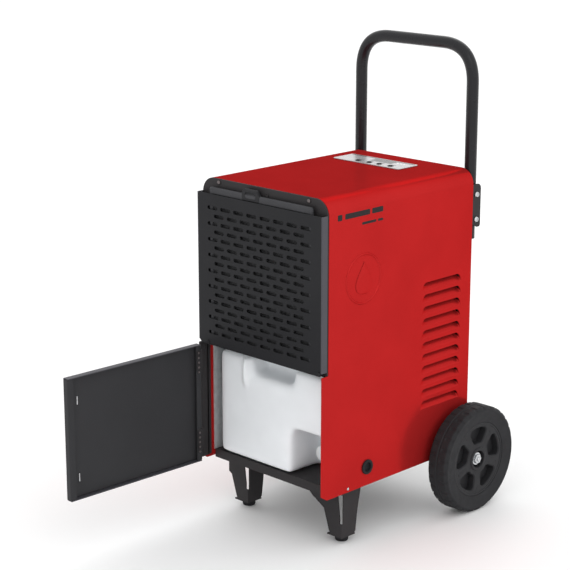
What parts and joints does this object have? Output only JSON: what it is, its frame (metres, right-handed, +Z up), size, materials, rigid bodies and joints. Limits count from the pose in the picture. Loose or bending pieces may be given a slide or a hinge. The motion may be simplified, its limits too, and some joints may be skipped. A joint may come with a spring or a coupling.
{
  "type": "portable dehumidifier",
  "caption": "Upright wheeled dehumidifier: folded steel casing, slotted front grille with slide-in filter, hinged lower door, removable water tank and a tubular push handle.",
  "frame": {"origin": "on the floor under the middle of the whole machine's box, with the lower door open at its rest angle", "axes": "+Z up, +X to the machine's right-hand side, -Y out of the front grille, +Y to the wheels and handle"},
  "size_m": [0.4166, 0.7694, 0.8616],
  "materials": {
    "red_paint": "gloss powder coat",
    "black_paint": "fine-texture powder coat",
    "door_paint": "fine-texture powder coat",
    "galvanised": "dull zinc-coated sheet",
    "zinc": "bright zinc plate",
    "coil": "bare fins",
    "copper": "drawn copper tube",
    "tank_plastic": "translucent white polyethylene",
    "white_plastic": "moulded",
    "black_plastic": "moulded",
    "grey_plastic": "moulded",
    "panel": "printed film on plate",
    "display": "smoked window",
    "foot_rubber": "matt",
    "tyre": "matt solid tyre",
    "rim": "fine texture"
  },
  "bodies": {
    "root": {"hood": "red_paint", "front_bezel": "black_paint", "bezel_screw_left": "zinc", "bezel_screw_right": "zinc", "grille_panel": "black_paint", "rear_panel": "black_paint", "base_tray": "black_paint", "bay_shelf": "galvanised", "bay_back": "galvanised", "bay_liner_left": "galvanised", "bay_liner_right": "galvanised", "front_leg_left": "black_paint", "front_leg_right": "black_paint", "rubber_foot_left": "foot_rubber", "rubber_foot_right": "foot_rubber", "axle_bracket_left": "black_paint", "axle_bracket_right": "black_paint", "axle": "zinc", "axle_nut_left": "zinc", "axle_nut_right": "zinc", "handle_tube": "black_paint", "handle_bracket_left": "black_paint", "handle_bracket_right": "black_paint", "handle_bolt_upper_left": "zinc", "handle_bolt_upper_right": "zinc", "handle_bolt_lower_left": "zinc", "handle_bolt_lower_right": "zinc", "hinge_upper": "black_paint", "hinge_lower": "black_paint", "evaporator": "coil", "condenser": "coil", "drip_pan": "black_plastic", "fan_shroud": "black_plastic", "fan_motor": "black_paint", "compressor": "black_paint", "compressor_plate": "galvanised", "discharge_pipe": "copper", "control_box": "black_plastic", "control_panel": "panel", "display_window": "display", "hose_grommet": "foot_rubber", "cable_gland": "black_plastic"},
    "door": {"door_panel": "door_paint", "door_liner": "door_paint", "door_leaf_upper": "black_paint", "door_leaf_lower": "black_paint"},
    "wheel_left": {"tyre_left": "tyre", "rim_left": "rim"},
    "wheel_right": {"tyre_right": "tyre", "rim_right": "rim"},
    "filter": {"filter_frame": "grey_plastic", "filter_mesh": "black_plastic"},
    "tank": {"water_tank": "tank_plastic"},
    "tank_cap": {"tank_cap": "white_plastic"},
    "fan": {"fan_blade": "grey_plastic"},
    "switch_lever": {"level_arm": "grey_plastic"},
    "button_1": {"button_1": "black_plastic"},
    "button_2": {"button_2": "black_plastic"},
    "button_3": {"button_3": "black_plastic"},
    "button_4": {"button_4": "black_plastic"}
  },
  "joints": [
    {"name": "door_hinge", "type": "hinge", "parent": "root", "child": "door", "pos_m": [-0.1522, -0.08333, 0.2175], "axis": [0, 0, -1], "range_deg": [-92.2, 75]},
    {"name": "wheel_left_spin", "type": "hinge", "parent": "root", "child": "wheel_left", "pos_m": [-0.1858, 0.28467, 0.1], "axis": [1, 0, 0], "continuous": true},
    {"name": "wheel_right_spin", "type": "hinge", "parent": "root", "child": "wheel_right", "pos_m": [0.1858, 0.28467, 0.1], "axis": [1, 0, 0], "continuous": true},
    {"name": "filter_slide", "type": "slide", "parent": "root", "child": "filter", "axis": [0, 0, 1], "range_m": [0, 0.29]},
    {"name": "tank_slide", "type": "slide", "parent": "root", "child": "tank", "axis": [0, -1, 0], "range_m": [0, 0.32]},
    {"name": "tank_cap_turn", "type": "hinge", "parent": "tank", "child": "tank_cap", "pos_m": [0.076, 0.00797, 0.152], "axis": [0, 1, 0], "continuous": true},
    {"name": "fan_spin", "type": "hinge", "parent": "root", "child": "fan", "pos_m": [0, 0.07047, 0.478], "axis": [0, 1, 0], "continuous": true},
    {"name": "switch_lever_turn", "type": "hinge", "parent": "root", "child": "switch_lever", "pos_m": [0.09, 0.06847, 0.3155], "axis": [-1, 0, 0], "range_deg": [0, 4], "stiffness_Nm_per_rad": 0.05},
    {"name": "button_1_press", "type": "slide", "parent": "root", "child": "button_1", "axis": [0, 0, -1], "range_m": [0, 0.0012], "stiffness_N_per_m": 400},
    {"name": "button_2_press", "type": "slide", "parent": "root", "child": "button_2", "axis": [0, 0, -1], "range_m": [0, 0.0012], "stiffness_N_per_m": 400},
    {"name": "button_3_press", "type": "slide", "parent": "root", "child": "button_3", "axis": [0, 0, -1], "range_m": [0, 0.0012], "stiffness_N_per_m": 400},
    {"name": "button_4_press", "type": "slide", "parent": "root", "child": "button_4", "axis": [0, 0, -1], "range_m": [0, 0.0012], "stiffness_N_per_m": 400}
  ]
}
